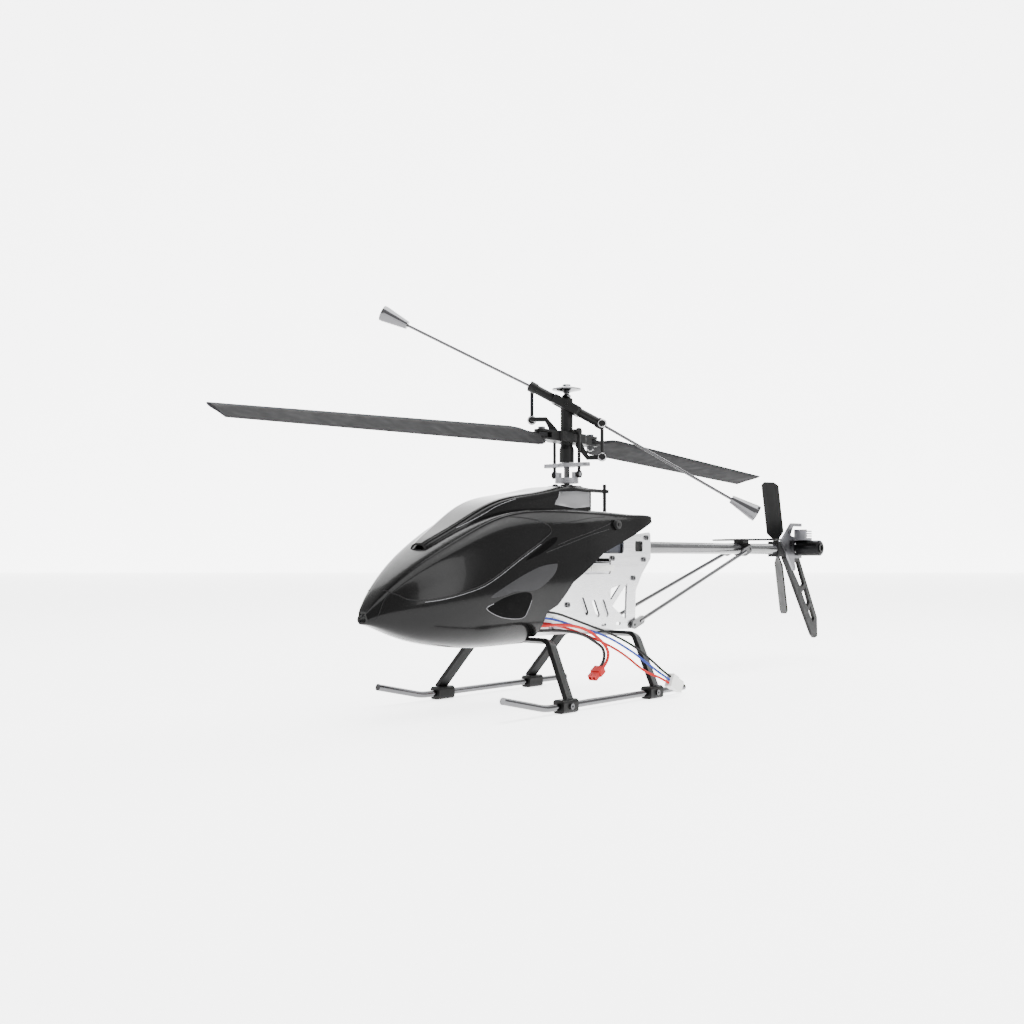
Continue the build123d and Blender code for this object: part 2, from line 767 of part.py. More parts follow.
with BuildPart() as driver_bar:
    with BuildSketch(level(160.6, BLADE_AZIMUTH)):
        SlotOverall(38, 6.4, rotation=90)
        Circle(6)
        Circle(SHAFT_R, mode=Mode.SUBTRACT)
        for way in (1, -1):
            with Locations((0, ROD_ARM * way)):
                Circle(1.95, mode=Mode.SUBTRACT)
    extrude(amount=2.6)
driver_bar.part.label = "driver_bar"
export_step(driver_bar.part, "parts/driver_bar.step")

with BuildPart() as head_button:
    with BuildSketch(upright(BLADE_AZIMUTH)):
        with BuildLine():
            Polyline(
                (0, 209.7), (2.6, 209.7), (3.4, 211.2), (1.9, 212.4), (1.9, 213.2), (3.2, 214.0),
                (10.2, 215.4), (10.4, 216.2), (3.4, 218.2), (2.6, 219.4), (0, 219.4), close=True,
            )  # fmt: skip
        make_face()
    revolve(axis=Axis((0, MAST_Y, 0), (0, 0, 1)))
head_button.part.label = "head_button"
export_step(head_button.part, "parts/head_button.step")

EAR_LOW = (177.6, 179.2)
EAR_HIGH = (182.8, 184.6)


def crank(way):
    """Outline of one cranked arm of the yoke, in the flybar's upright plane."""
    high = way > 0
    ball_z = PIVOT_Z + way * LINK_R * tan(radians(FLYBAR_TILT)) - LINK_LENGTH
    edge = EAR_HIGH[1] if high else EAR_LOW[0]
    inner = edge - 0.8 * way
    return (
        (way * 6.4, inner), (way * 10.4, inner), (way * 15.4, ball_z - 1.5 * way),
        (way * LINK_R, ball_z - 1.5 * way), (way * (LINK_R + 1.4), ball_z),
        (way * LINK_R, ball_z + 1.5 * way), (way * 14.2, ball_z + 1.5 * way),
        (way * 6.4, edge + 2.6 * way),
    )  # fmt: skip


with BuildPart() as blade_yoke:
    with BuildSketch(level(EAR_LOW[0], BLADE_AZIMUTH)):
        RectangleRounded(32, 15, 3)
        SlotOverall(2 * BOLT_R + 10.6, 9.8)
        Rectangle(9.6, 10.8, mode=Mode.SUBTRACT)
    extrude(amount=EAR_HIGH[1] - EAR_LOW[0])
    with BuildSketch(level(EAR_LOW[1], BLADE_AZIMUTH)):
        with Locations((BOLT_R + 4.6, 0), (-BOLT_R - 4.6, 0)):
            Rectangle(20, 20)
    extrude(amount=EAR_HIGH[0] - EAR_LOW[1], mode=Mode.SUBTRACT)
    with BuildSketch(level(EAR_LOW[0], BLADE_AZIMUTH)):
        with Locations((BOLT_R, 0), (-BOLT_R, 0)):
            Circle(1.4)
    extrude(amount=20, mode=Mode.SUBTRACT)
    for way in (1, -1):
        with BuildSketch(upright(FLYBAR_AZIMUTH)):
            with BuildLine():
                Polyline(*crank(way), close=True)
            make_face()
        extrude(amount=1.6, both=True)
        end_z = PIVOT_Z + way * LINK_R * tan(radians(FLYBAR_TILT)) - LINK_LENGTH
        pin = around(FLYBAR_AZIMUTH, way * LINK_R, end_z)
        out = level(0, FLYBAR_AZIMUTH).y_dir * -way
        with BuildSketch(Plane(origin=pin, z_dir=out)):
            Circle(1.1)
        extrude(amount=7.9)
        with BuildSketch(Plane(origin=pin, z_dir=out).offset(7.5)):
            Circle(2.0)
        extrude(amount=1.0)
        lug = Plane(
            origin=around(BLADE_AZIMUTH, 0, YOKE_Z + ROD_RISE, 5.4 * way),
            z_dir=level(0, BLADE_AZIMUTH).y_dir * way,
        )
        with BuildSketch(lug):
            with Locations((0, 0)):
                Circle(1.7)
                Rectangle(3.4, 3.4)
        extrude(amount=2.9)
        with BuildSketch(lug):
            Circle(1.0)
        extrude(amount=ROD_ARM - 5.4)
        with BuildSketch(lug.offset(ROD_ARM - 5.4)):
            Circle(1.5)
        extrude(amount=1.0, both=True)
    with BuildSketch(FEATHER_AXIS.offset(-0.2)):
        Circle(1.2 + FIT)
    extrude(amount=26.8, mode=Mode.SUBTRACT)
blade_yoke.part.label = "blade_yoke"
export_step(blade_yoke.part, "parts/blade_yoke.step")

with BuildPart() as blade_bolts:
    for way in (1, -1):
        with BuildSketch(level(EAR_LOW[0] - 3.2, BLADE_AZIMUTH)):
            with Locations((BOLT_R * way, 0)):
                Circle(1.4)
        extrude(amount=10.4)
        with BuildSketch(level(EAR_LOW[0] - 2.4, BLADE_AZIMUTH)):
            with Locations((BOLT_R * way, 0)):
                RegularPolygon(2.8, 6)
        extrude(amount=2.4)
        with BuildSketch(level(EAR_HIGH[1], BLADE_AZIMUTH)):
            with Locations((BOLT_R * way, 0)):
                Circle(2.5)
        extrude(amount=1.8)
blade_bolts.part.label = "blade_bolts"
export_step(blade_bolts.part, "parts/blade_bolts.step")


def blade_plane(azimuth, r, pitch):
    """Section plane of a blade at radius r: first axis towards the trailing edge, second up."""
    a, d, p = radians(azimuth), radians(BLADE_DROOP), radians(pitch)
    along = Vector(cos(a) * cos(d), sin(a) * cos(d), -sin(d))
    flat = Vector(-sin(a), cos(a), 0)
    up = along.cross(flat)
    trailing = flat * cos(p) - up * sin(p)
    origin = Vector(*around(azimuth, BOLT_R, YOKE_Z)) + along * (r - BOLT_R)
    return Plane(origin=origin, x_dir=trailing, z_dir=along)


def airfoil(front, back, thick):
    """Outline of a thin cambered section from its leading to its trailing edge."""
    width = back - front
    upper = ((0.0, 0.0), (0.03, 0.28), (0.12, 0.52), (0.32, 0.64), (0.62, 0.46), (1.0, 0.1))
    lower = ((1.0, -0.1), (0.62, -0.12), (0.32, -0.3), (0.12, -0.36), (0.03, -0.22))
    return [(front + width * u, thick * v) for u, v in upper + lower]


def blade(azimuth, pitches):
    """A rotor blade: a flat root tab, a twisted shoulder and a thin cambered wing."""
    root_w = 8.6
    lead = -0.38 * BLADE_CHORD
    trail = 0.62 * BLADE_CHORD
    with BuildPart() as wing:
        for r, pitch, front, back, thick in (
            (39.5, 0, -root_w / 2, root_w / 2, 2.8),
            (49, 0.9 * pitches[0], lead * 0.93, trail * 0.93, 3.0),
            (56, pitches[0], lead, trail, 2.8),
            (ROTOR_R + 2, pitches[1], lead, trail, 2.0),
        ):
            with BuildSketch(blade_plane(azimuth, r, pitch)):
                with BuildLine():
                    Polyline(*airfoil(front, back, thick), close=True)
                make_face()
        loft(ruled=True)
        tip = blade_plane(azimuth, ROTOR_R + 2, pitches[1])
        with BuildSketch(Plane(origin=tip.origin, x_dir=tip.x_dir, z_dir=tip.y_dir * -1)):
            with BuildLine():
                Polyline((lead - 2, -13), (trail + 2, -2), (trail + 2, 20), (lead - 2, 20), close=True)
            make_face()
        extrude(amount=20, both=True, mode=Mode.SUBTRACT)
        tab = blade_plane(azimuth, BOLT_R, 0)
        with BuildSketch(Plane(origin=tab.origin, x_dir=tab.z_dir, z_dir=tab.y_dir)):
            with Locations((3, 0)):
                SlotOverall(14.6, root_w)
            with Locations((6.5, 0)):
                Rectangle(5, root_w)
            Circle(1.4 + FIT, mode=Mode.SUBTRACT)
        extrude(amount=1.4, both=True)
    return wing.part


front_blade = blade(BLADE_AZIMUTH, FRONT_PITCH)
front_blade.label = "front_blade"
export_step(front_blade, "parts/front_blade.step")
rear_blade = blade(BLADE_AZIMUTH + 180, REAR_PITCH)
rear_blade.label = "rear_blade"
export_step(rear_blade, "parts/rear_blade.step")

# ---------------------------------------------------------------- flybar

FLYBAR_ACROSS = level(0, FLYBAR_AZIMUTH).y_dir
FLYBAR_ALONG = level(0, FLYBAR_AZIMUTH).x_dir * cos(radians(FLYBAR_TILT)) + Vector(
    0, 0, sin(radians(FLYBAR_TILT))
)
FLYBAR_LEVEL = Plane(
    origin=at(0, 0, PIVOT_Z), x_dir=FLYBAR_ALONG, z_dir=FLYBAR_ALONG.cross(FLYBAR_ACROSS)
)
FLYBAR_STUD = LINK_R / cos(radians(FLYBAR_TILT))
FLYBAR_END = 30.0

with BuildPart() as flybar_sleeve:
    with BuildSketch(FLYBAR_LEVEL):
        RectangleRounded(21, 13.5, 2)
        Rectangle(16.4, 9.5, mode=Mode.SUBTRACT)
    extrude(amount=3.2, both=True)
    for way in (1, -1):
        along = Plane(
            origin=at(0, 0, PIVOT_Z), x_dir=FLYBAR_ACROSS, z_dir=FLYBAR_ALONG * way
        )
        with BuildSketch(along.offset(9.2)):
            Circle(3.2)
        extrude(amount=FLYBAR_END - 9.2)
        with BuildSketch(along.offset(24.6)):
            Circle(3.8)
        extrude(amount=FLYBAR_END - 24.6)
        stud = Plane(
            origin=Vector(*at(0, 0, PIVOT_Z)) + FLYBAR_ALONG * FLYBAR_STUD * way,
            z_dir=FLYBAR_ACROSS * -way,
        )
        with BuildSketch(stud):
            Circle(1.1)
        extrude(amount=7.4)
        with BuildSketch(stud.offset(7.0)):
            Circle(2.0)
        extrude(amount=0.9)
    with BuildSketch(FLYBAR_AXIS.offset(-1)):
        Circle(1.0 + FIT)
    extrude(amount=16, mode=Mode.SUBTRACT)
flybar_sleeve.part.label = "flybar_sleeve"
export_step(flybar_sleeve.part, "parts/flybar_sleeve.step")


def flybar_tip(way):
    """The tip of one half of the flybar; the wires bow under their weights."""
    rise = 27.35 if way > 0 else 30.25
    return around(
        FLYBAR_AZIMUTH, way * FLYBAR_REACH, PIVOT_Z + way * FLYBAR_REACH * tan(radians(rise))
    )


def flybar_root(way):
    return tuple(Vector(*at(0, 0, PIVOT_Z)) + FLYBAR_ALONG * (FLYBAR_END + 0.25) * way)


with BuildPart() as flybar_rods:
    for way in (1, -1):
        with BuildSketch(between(flybar_root(way), flybar_tip(way))):
            Circle(1.0)
        extrude(amount=distance(flybar_root(way), flybar_tip(way)) - 20.5)
flybar_rods.part.label = "flybar_rods"
export_step(flybar_rods.part, "parts/flybar_rods.step")

with BuildPart() as flybar_weights:
    for way in (1, -1):
        outward = between(flybar_root(way), flybar_tip(way))
        length = distance(flybar_root(way), flybar_tip(way))
        with BuildSketch(outward.offset(length - 20.5)):
            Circle(2.9)
        with BuildSketch(outward.offset(length - 2)):
            Circle(5.7)
        loft()
        with BuildSketch(outward.offset(length - 2)):
            Circle(5.7)
        extrude(amount=2)
flybar_weights.part.label = "flybar_weights"
export_step(flybar_weights.part, "parts/flybar_weights.step")


def link(start, start_axis, end, end_axis, r, eye, start_bore, end_bore, thick):
    """A rod from one pivot to another, with a ring round each."""
    with BuildPart() as body:
        with BuildSketch(between(start, end).offset(0.8 * eye)):
            Circle(r)
        extrude(amount=distance(start, end) - 1.6 * eye)
        for centre, axis in ((start, start_axis), (end, end_axis)):
            with BuildSketch(Plane(origin=centre, z_dir=axis)):
                Circle(eye)
            extrude(amount=thick / 2, both=True)
        for centre, axis, bore in ((start, start_axis, start_bore), (end, end_axis, end_bore)):
            with BuildSketch(Plane(origin=centre, z_dir=axis)):
                Circle(bore)
            extrude(amount=3 * thick, both=True, mode=Mode.SUBTRACT)
    return body.part


def flybar_link(way):
    """An upright link; its lower eye is a loose fit on the pin of the yoke's arm."""
    top_z = PIVOT_Z + way * LINK_R * tan(radians(FLYBAR_TILT))
    top = around(FLYBAR_AZIMUTH, way * LINK_R, top_z, -LINK_SIDE * way)
    low = around(FLYBAR_AZIMUTH, way * LINK_R, top_z - LINK_LENGTH, -LINK_SIDE * way)
    return link(top, FLYBAR_ACROSS, low, FLYBAR_ACROSS, 1.25, 3.2, 1.1 + FIT, 1.55, 2.4)


high_flybar_link = flybar_link(1)
high_flybar_link.label = "high_flybar_link"
export_step(high_flybar_link, "parts/high_flybar_link.step")
low_flybar_link = flybar_link(-1)
low_flybar_link.label = "low_flybar_link"
export_step(low_flybar_link, "parts/low_flybar_link.step")

# ---------------------------------------------------------------- swashplate and its controls

ROD_EYE = 2.6
BALL = 1.5
BALL_BORE = 1.85
BLADE_ACROSS = level(0, BLADE_AZIMUTH).y_dir


def cyclic_rod(way):
    top = around(BLADE_AZIMUTH, 0, YOKE_Z + ROD_RISE, ROD_ARM * way)
    low = around(BLADE_AZIMUTH, 0, UPPER_RING_Z + ROD_RISE, ROD_ARM * way)
    return link(top, BLADE_ACROSS, low, BLADE_ACROSS, 1.1, ROD_EYE, BALL_BORE, BALL_BORE, 2.0)


left_cyclic_rod = cyclic_rod(1)
left_cyclic_rod.label = "left_cyclic_rod"
export_step(left_cyclic_rod, "parts/left_cyclic_rod.step")
right_cyclic_rod = cyclic_rod(-1)
right_cyclic_rod.label = "right_cyclic_rod"
export_step(right_cyclic_rod, "parts/right_cyclic_rod.step")

with BuildPart() as upper_ring:
    with BuildSketch(level(UPPER_RING_Z - 1.8)):
        Circle(8.4)
        Circle(4.7, mode=Mode.SUBTRACT)
    extrude(amount=3.6)
    for way in (1, -1):
        with BuildSketch(level(UPPER_RING_Z + 1.2, BLADE_AZIMUTH)):
            with Locations((0, 6.8 * way)):
                Rectangle(3.4, 2.8)
        extrude(amount=4.8)
        ball = Plane(
            origin=around(BLADE_AZIMUTH, 0, UPPER_RING_Z + ROD_RISE, ROD_ARM * way),
            z_dir=BLADE_ACROSS,
        )
        with BuildSketch(ball):
            Circle(BALL)
        extrude(amount=1.0, both=True)
        with BuildSketch(ball):
            Circle(1.0)
        extrude(amount=-4.0 * way)
upper_ring.part.label = "upper_ring"
export_step(upper_ring.part, "parts/upper_ring.step")

with BuildPart() as swash_gimbal:
    with BuildSketch(level(RING_Z - 1.4)):
        Circle(6.9)
        Circle(4.8, mode=Mode.SUBTRACT)
    extrude(amount=2.8)
    with BuildSketch(Plane(origin=at(-8, 0, RING_Z), z_dir=(1, 0, 0))):
        Circle(0.6 + FIT)
    extrude(amount=16, mode=Mode.SUBTRACT)
    for way in (1, -1):
        with BuildSketch(Plane(origin=at(0, 5.6 * way, RING_Z), z_dir=(0, way, 0))):
            Circle(0.6)
        extrude(amount=3.4)
swash_gimbal.part.label = "swash_gimbal"
export_step(swash_gimbal.part, "parts/swash_gimbal.step")

GUIDE_Y = 45.0

with BuildPart() as swash_lower_ring:
    with BuildSketch(level(RING_Z - 1.8)):
        Circle(10.5)
        with BuildLine():
            Polyline((-4, 8), (-1.6, GUIDE_Y - 2), (1.6, GUIDE_Y - 2), (4, 8), close=True)
        make_face()
        with Locations((0, GUIDE_Y)):
            Circle(3.2)
            Circle(1.95, mode=Mode.SUBTRACT)
        Circle(7.5, mode=Mode.SUBTRACT)
    extrude(amount=3.6)
    with BuildSketch(side(-6)):
        with BuildLine():
            Polyline(
                (13, RING_Z + 1.2), (50, RING_Z + 1.2), (50, RING_Z + 4), (13, RING_Z + 4),
                close=True,
            )  # fmt: skip
        make_face()
        with BuildLine():
            Polyline(
                (13, RING_Z - 1.2), (50, RING_Z - 1.2), (50, RING_Z - 4), (13, RING_Z - 4),
                close=True,
            )  # fmt: skip
        make_face()
    extrude(amount=12, mode=Mode.SUBTRACT)
    with BuildSketch(Plane(origin=at(0, -11, RING_Z), z_dir=(0, 1, 0))):
        Circle(0.6 + FIT)
    extrude(amount=22, mode=Mode.SUBTRACT)
    with BuildSketch(Plane(origin=at(0, -9.6, RING_Z), z_dir=(0, -1, 0))):
        Circle(1.0)
    extrude(amount=PITCH_ARM - 9.6)
    with BuildSketch(Plane(origin=at(0, -PITCH_ARM, RING_Z), z_dir=(0, 1, 0))):
        Circle(BALL)
    extrude(amount=1.0, both=True)
    with BuildSketch(Plane(origin=at(-9.6, 0, RING_Z), z_dir=(-1, 0, 0))):
        Circle(1.0)
    extrude(amount=ROLL_ARM - 9.6)
    with BuildSketch(Plane(origin=at(-ROLL_ARM, 0, RING_Z), z_dir=(1, 0, 0))):
        Circle(BALL)
    extrude(amount=1.0, both=True)
swash_lower_ring.part.label = "swash_lower_ring"
export_step(swash_lower_ring.part, "parts/swash_lower_ring.step")

PITCH_BALL = at(16.8, PITCH_SHAFT_Y - PITCH_ARM, SERVO_Z)
ROLL_BALL = at(-ROLL_ARM, 25.0, ROLL_SHAFT_Z)

with BuildPart() as pitch_servo_arm:
    with BuildSketch(side(13.75)):
        with Locations((PITCH_SHAFT_Y, SERVO_Z)):
            Circle(3.0)
        with Locations((PITCH_SHAFT_Y - PITCH_ARM / 2, SERVO_Z)):
            SlotOverall(PITCH_ARM + 3.6, 3.6)
    extrude(amount=1.4)
    with BuildSketch(side(11.8)):
        with Locations((PITCH_SHAFT_Y, SERVO_Z)):
            Circle(1.0)
    extrude(amount=2.2)
    with BuildSketch(side(15)):
        with Locations((PITCH_SHAFT_Y - PITCH_ARM, SERVO_Z)):
            Circle(0.9)
    extrude(amount=1.8)
    with BuildSketch(Plane(origin=PITCH_BALL, z_dir=(1, 0, 0))):
        Circle(BALL)
    extrude(amount=1.0, both=True)
pitch_servo_arm.part.label = "pitch_servo_arm"
export_step(pitch_servo_arm.part, "parts/pitch_servo_arm.step")

with BuildPart() as roll_servo_arm:
    with BuildSketch(station(28.2)):
        with Locations((0, ROLL_SHAFT_Z)):
            Circle(3.0)
        with Locations((-ROLL_ARM / 2, ROLL_SHAFT_Z)):
            SlotOverall(ROLL_ARM + 3.6, 3.6)
    extrude(amount=1.4)
    with BuildSketch(station(29.8)):
        with Locations((0, ROLL_SHAFT_Z)):
            Circle(1.0)
    extrude(amount=2.2)
    with BuildSketch(station(27)):
        with Locations((-ROLL_ARM, ROLL_SHAFT_Z)):
            Circle(0.9)
    extrude(amount=1.8)
    with BuildSketch(Plane(origin=ROLL_BALL, z_dir=(0, 1, 0))):
        Circle(BALL)
    extrude(amount=1.0, both=True)
roll_servo_arm.part.label = "roll_servo_arm"
export_step(roll_servo_arm.part, "parts/roll_servo_arm.step")

pitch_rod = link(
    PITCH_BALL, (1, 0, 0), at(0, -PITCH_ARM, RING_Z), (0, 1, 0),
    0.9, ROD_EYE, BALL_BORE, BALL_BORE, 2.0,
)  # fmt: skip
pitch_rod.label = "pitch_rod"
export_step(pitch_rod, "parts/pitch_rod.step")
roll_rod = link(
    ROLL_BALL, (0, 1, 0), at(-ROLL_ARM, 0, RING_Z), (1, 0, 0),
    0.9, ROD_EYE, BALL_BORE, BALL_BORE, 2.0,
)  # fmt: skip
roll_rod.label = "roll_rod"
export_step(roll_rod, "parts/roll_rod.step")

# ---------------------------------------------------------------- small screws

with BuildPart() as cap_screws:
    for way in (1, -1):
        for y, z in SCREWS:
            face = side(0) if way > 0 else Plane(
                origin=(0, MAST_Y, 0), x_dir=(0, 1, 0), z_dir=(-1, 0, 0)
            )
            with BuildSketch(face.offset(PLATE_X + PLATE_T)):
                with Locations((y, z * way)):
                    Circle(1.9)
                    RegularPolygon(0.8, 6, mode=Mode.SUBTRACT)
            extrude(amount=1.3)
            with BuildSketch(face.offset(PLATE_X)):
                with Locations((y, z * way)):
                    Circle(1.0)
            extrude(amount=PLATE_T + 0.3)
    for y in CLAMP_STATIONS:
        for way in (1, -1):
            with BuildSketch(Plane(origin=at((SKID_X + 4.3) * way, y, SKID_Z), z_dir=(way, 0, 0))):
                Circle(1.9)
                RegularPolygon(0.8, 6, mode=Mode.SUBTRACT)
            extrude(amount=1.2)
cap_screws.part.label = "cap_screws"
export_step(cap_screws.part, "parts/cap_screws.step")

# ---------------------------------------------------------------- battery leads

PLUG_WAY = Vector(0.1, 0.88, -0.465).normalized()
PLUG_UP = Vector(0, 0.467, 0.884)
POWER_WAY = Vector(0, -0.848, -0.53)
WIRE_R = 0.85
POWER_R = 1.05


def lead(points, r):
    """A flexible wire: straight runs joined by arcs as wide as the runs allow."""
    radii = []
    for before, here, after in zip(points, points[1:], points[2:]):
        into = Vector(*here) - Vector(*before)
        out = Vector(*after) - Vector(*here)
        half = radians(into.get_angle(out)) / 2
        radii.append(0.45 * min(into.length, out.length) / tan(half))
    with BuildPart() as wire:
        with BuildLine() as path:
            FilletPolyline(*points, radius=radii)
        with BuildSketch(Plane(origin=path.line @ 0, z_dir=path.line % 0)):
            Circle(r)
        sweep(path=path.line)
    length = sum(edge.length for edge in path.edges())
    print([round(radius, 1) for radius in radii], round(length, 1), round(wire.part.volume, 1))
    return wire.part


def plug_pin(lift):
    """The last two points of a balance lead, square to the plug's face."""
    end = Vector(*at(61.4, 36.0, 12.4)) + PLUG_UP * lift
    return tuple(end - PLUG_WAY * 8), tuple(end)


black_lead = lead(
    (
        at(11, -74, 60.6), at(15.5, -55, 61.2), at(18, -36, 60), at(20.5, -17, 54.2),
        at(25.4, -6.1, 49.8), at(31, 5.3, 45.4), at(41, 18, 37.5), at(51.5, 25, 28),
        *plug_pin(2.4),
    ),
    WIRE_R,
)  # fmt: skip
black_lead.label = "black_lead"
export_step(black_lead, "parts/black_lead.step")
blue_lead = lead(
    (
        at(11, -74, 57.6), at(15.4, -55, 57.6), at(18, -36, 55.5), at(21, -17.7, 49.8),
        at(30, 4.3, 43.4), at(43, 19.5, 31.3), at(53, 25.5, 22), *plug_pin(0),
    ),
    WIRE_R,
)  # fmt: skip
blue_lead.label = "blue_lead"
export_step(blue_lead, "parts/blue_lead.step")
red_lead = lead(
    (
        at(11, -74, 54.8), at(15.4, -55, 54.2), at(18.2, -36, 51.8), at(21, -17.7, 46.8),
        at(29, 5.7, 37.7), at(39, 15.3, 29.4), at(51, 20.4, 18.5), *plug_pin(-2.4),
    ),
    WIRE_R,
)  # fmt: skip
red_lead.label = "red_lead"
export_step(red_lead, "parts/red_lead.step")
red_power_lead = lead(
    (
        at(10.6, -74, 51.7), at(16.5, -55, 51.3), at(22, -36, 52.2), at(26, -14, 49.2),
        at(30.5, -2.2, 40.7), at(32.6, 4.6, 33.2), at(32.6, 3.5, 25.2), at(32.6, -3.3, 20.95),
    ),
    POWER_R,
)  # fmt: skip
red_power_lead.label = "red_power_lead"
export_step(red_power_lead, "parts/red_power_lead.step")
black_power_lead = lead(
    (
        at(10.6, -74, 49.3), at(16.4, -55, 48.3), at(21.6, -36, 48.4), at(25.2, -15, 45),
        at(28, -3.6, 38.6), at(29.6, 3.2, 34.2), at(30, 3.5, 25.2), at(30, -3.3, 20.95),
    ),
    POWER_R,
)  # fmt: skip
black_power_lead.label = "black_power_lead"
export_step(black_power_lead, "parts/black_power_lead.step")

with BuildPart() as balance_plug:
    mouth = Plane(origin=plug_pin(0)[1], x_dir=PLUG_WAY.cross(PLUG_UP), z_dir=PLUG_WAY)
    with BuildSketch(mouth):
        Rectangle(5.8, 9.4)
    extrude(amount=6.5)
    with BuildSketch(mouth.offset(6.5)):
        Rectangle(4.8, 8.2)
    extrude(amount=6.5)
    with BuildSketch(mouth.offset(8)):
        with Locations((0, -2.4), (0, 0), (0, 2.4)):
            Rectangle(2.4, 1.5)
    extrude(amount=5, mode=Mode.SUBTRACT)
balance_plug.part.label = "balance_plug"
export_step(balance_plug.part, "parts/balance_plug.step")

with BuildPart() as power_plug:
    mouth = Plane(origin=at(31.3, -3.3, 20.95), x_dir=(1, 0, 0), z_dir=POWER_WAY)
    with BuildSketch(mouth):
        Rectangle(7.6, 4.8)
    extrude(amount=6)
    with BuildSketch(mouth.offset(6)):
        Rectangle(6.4, 3.8)
    extrude(amount=5)
    with BuildSketch(mouth.offset(8)):
        with Locations((-1.6, 0), (1.6, 0)):
            Rectangle(2, 2.2)
    extrude(amount=3, mode=Mode.SUBTRACT)
power_plug.part.label = "power_plug"
export_step(power_plug.part, "parts/power_plug.step")
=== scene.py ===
import json
import math

import bpy
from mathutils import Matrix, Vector
from mathutils.bvhtree import BVHTree
from mathutils.geometry import delaunay_2d_cdt


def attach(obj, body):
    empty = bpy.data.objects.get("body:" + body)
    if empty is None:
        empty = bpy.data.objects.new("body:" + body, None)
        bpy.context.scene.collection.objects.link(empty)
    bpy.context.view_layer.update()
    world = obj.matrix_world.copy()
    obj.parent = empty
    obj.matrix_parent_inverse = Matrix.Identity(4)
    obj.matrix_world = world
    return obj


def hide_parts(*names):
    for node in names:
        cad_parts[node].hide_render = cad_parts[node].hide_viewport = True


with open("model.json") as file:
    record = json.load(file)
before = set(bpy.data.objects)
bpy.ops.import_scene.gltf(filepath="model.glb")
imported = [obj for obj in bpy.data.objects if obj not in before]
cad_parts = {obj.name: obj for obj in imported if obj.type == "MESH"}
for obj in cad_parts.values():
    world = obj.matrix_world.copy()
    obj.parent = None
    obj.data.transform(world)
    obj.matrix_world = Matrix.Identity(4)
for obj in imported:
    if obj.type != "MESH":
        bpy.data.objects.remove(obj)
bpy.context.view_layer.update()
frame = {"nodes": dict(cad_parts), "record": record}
nodes = frame["nodes"]

MAST_Y = -0.0384


def at(x, y, z):
    """A point given in millimetres, with its station counted aft from the mast."""
    return Vector((x / 1000, MAST_Y + y / 1000, z / 1000))


def new_object(name, data):
    obj = bpy.data.objects.new(name, data)
    bpy.context.collection.objects.link(obj)
    return obj


# ------------------------------------------------------------ camera
camera = new_object("camera", bpy.data.cameras.new("camera"))
camera.location = (0.4864, -0.619 + MAST_Y, 0.0967)
camera.rotation_euler = (math.radians(92.34), 0, math.radians(40.98))
camera.data.lens = 39.14
camera.data.sensor_width = 36
camera.data.clip_start = 0.01
camera.data.clip_end = 30
camera.data.dof.use_dof = False
bpy.context.scene.camera = camera


# ------------------------------------------------------------ materials
# Places of the Mix node's two colour inputs and its colour output.
MIX_FIRST = 6
MIX_SECOND = 7
MIX_COLOR = 2
METAL_SPREAD = 0.06
METAL_GRAIN = 0.08


class Build:
    """Builds one node material step by step."""

    def __init__(self, name):
        self.mat = bpy.data.materials.new(name)
        self.mat.use_nodes = True
        self.tree = self.mat.node_tree
        self.shader = self.tree.nodes["Principled BSDF"]
        self.coords = self.add("ShaderNodeTexCoord").outputs["Object"]

    def add(self, kind, **settings):
        node = self.tree.nodes.new(kind)
        for key, value in settings.items():
            setattr(node, key, value)
        return node

    def link(self, source, target):
        self.tree.links.new(source, target)

    def noise(self, scale, detail, stretch=None):
        node = self.add("ShaderNodeTexNoise")
        node.inputs["Scale"].default_value = scale
        node.inputs["Detail"].default_value = detail
        source = self.coords
        if stretch:
            mapping = self.add("ShaderNodeMapping")
            mapping.inputs["Scale"].default_value = stretch
            self.link(source, mapping.inputs["Vector"])
            source = mapping.outputs["Vector"]
        self.link(source, node.inputs["Vector"])
        return node.outputs["Fac"]

    def ramp(self, source, low, high, start=0.3, end=0.7):
        node = self.add("ShaderNodeMapRange")
        node.inputs["From Min"].default_value = start
        node.inputs["From Max"].default_value = end
        node.inputs["To Min"].default_value = low
        node.inputs["To Max"].default_value = high
        self.link(source, node.inputs["Value"])
        return node.outputs["Result"]

    def mix(self, factor, first, second):
        node = self.add("ShaderNodeMix", data_type="RGBA")
        node.inputs[MIX_FIRST].default_value = (*first, 1)
        node.inputs[MIX_SECOND].default_value = (*second, 1)
        self.link(factor, node.inputs[0])
        return node.outputs[MIX_COLOR]

    def bump(self, height, strength, distance):
        node = self.add("ShaderNodeBump")
        node.inputs["Strength"].default_value = strength
        node.inputs["Distance"].default_value = distance
        self.link(height, node.inputs["Height"])
        self.link(node.outputs["Normal"], self.shader.inputs["Normal"])


def shade(color, factor):
    return tuple(min(1.0, channel * factor) for channel in color)


def plastic(name, color, rough, grain=0.15, spread=0.12, shine=0.22):
    """Moulded plastic with a fine grain; spread is how far its colour varies."""
    m = Build(name)
    patches = m.noise(38, 3)
    m.link(m.mix(m.ramp(patches, 0, 1), shade(color, 1 - spread), shade(color, 1 + spread)),
           m.shader.inputs["Base Color"])
    m.link(m.ramp(m.noise(120, 5), rough - 0.06, rough + 0.08), m.shader.inputs["Roughness"])
    m.bump(m.noise(1900, 2), grain, 0.0001)
    m.shader.inputs["Specular IOR Level"].default_value = shine
    return m.mat


